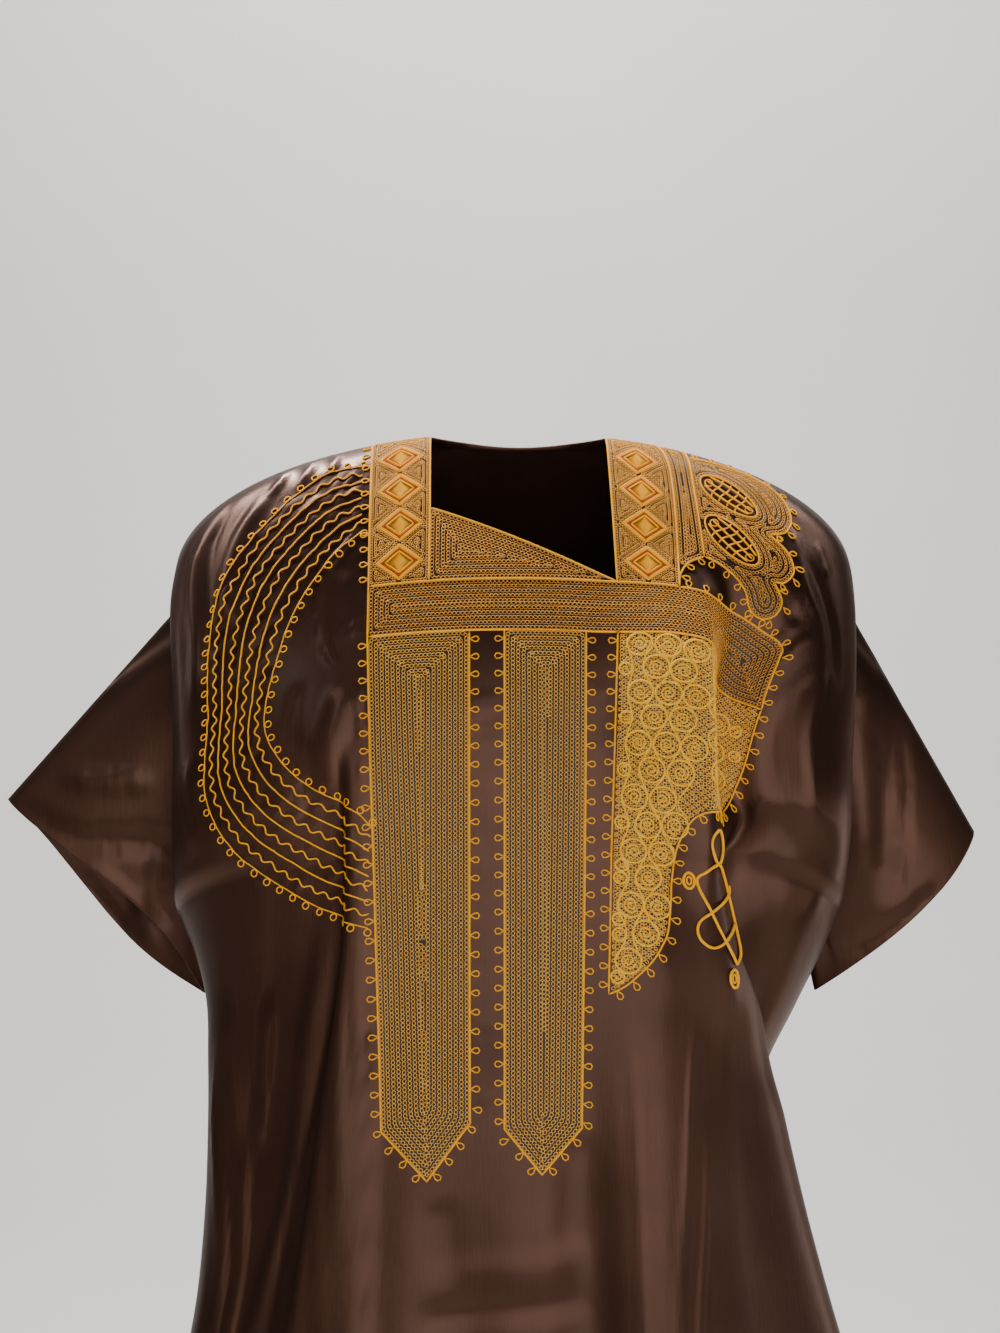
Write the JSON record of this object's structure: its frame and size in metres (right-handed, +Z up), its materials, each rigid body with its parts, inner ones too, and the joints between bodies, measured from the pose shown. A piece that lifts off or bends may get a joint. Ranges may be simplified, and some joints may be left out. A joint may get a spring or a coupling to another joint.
{
  "type": "abaya",
  "caption": "Full-length hollow satin gown with short cape sleeves and an embroidered chest, hanging as worn.",
  "frame": {"origin": "midway across the neck on the shoulder line, where the shoulders hold the gown", "axes": "+Z up, -Y towards the front of the gown, +X to the right as seen from in front"},
  "size_m": [0.8455, 0.4686, 1.4077],
  "materials": {
    "satin": "dark brown satin with a soft sheen",
    "thread": "gold chain-stitched thread"
  },
  "bodies": {
    "root": {"front": "satin", "back": "satin", "sleeve_left": "satin", "sleeve_right": "satin", "shoulder_band_left": "thread", "shoulder_band_right": "thread", "neck_inset": "thread", "chest_band": "thread", "knife_left": "thread", "knife_right": "thread", "pocket_field": "thread", "shoulder_leaf": "thread"}
  },
  "joints": []
}
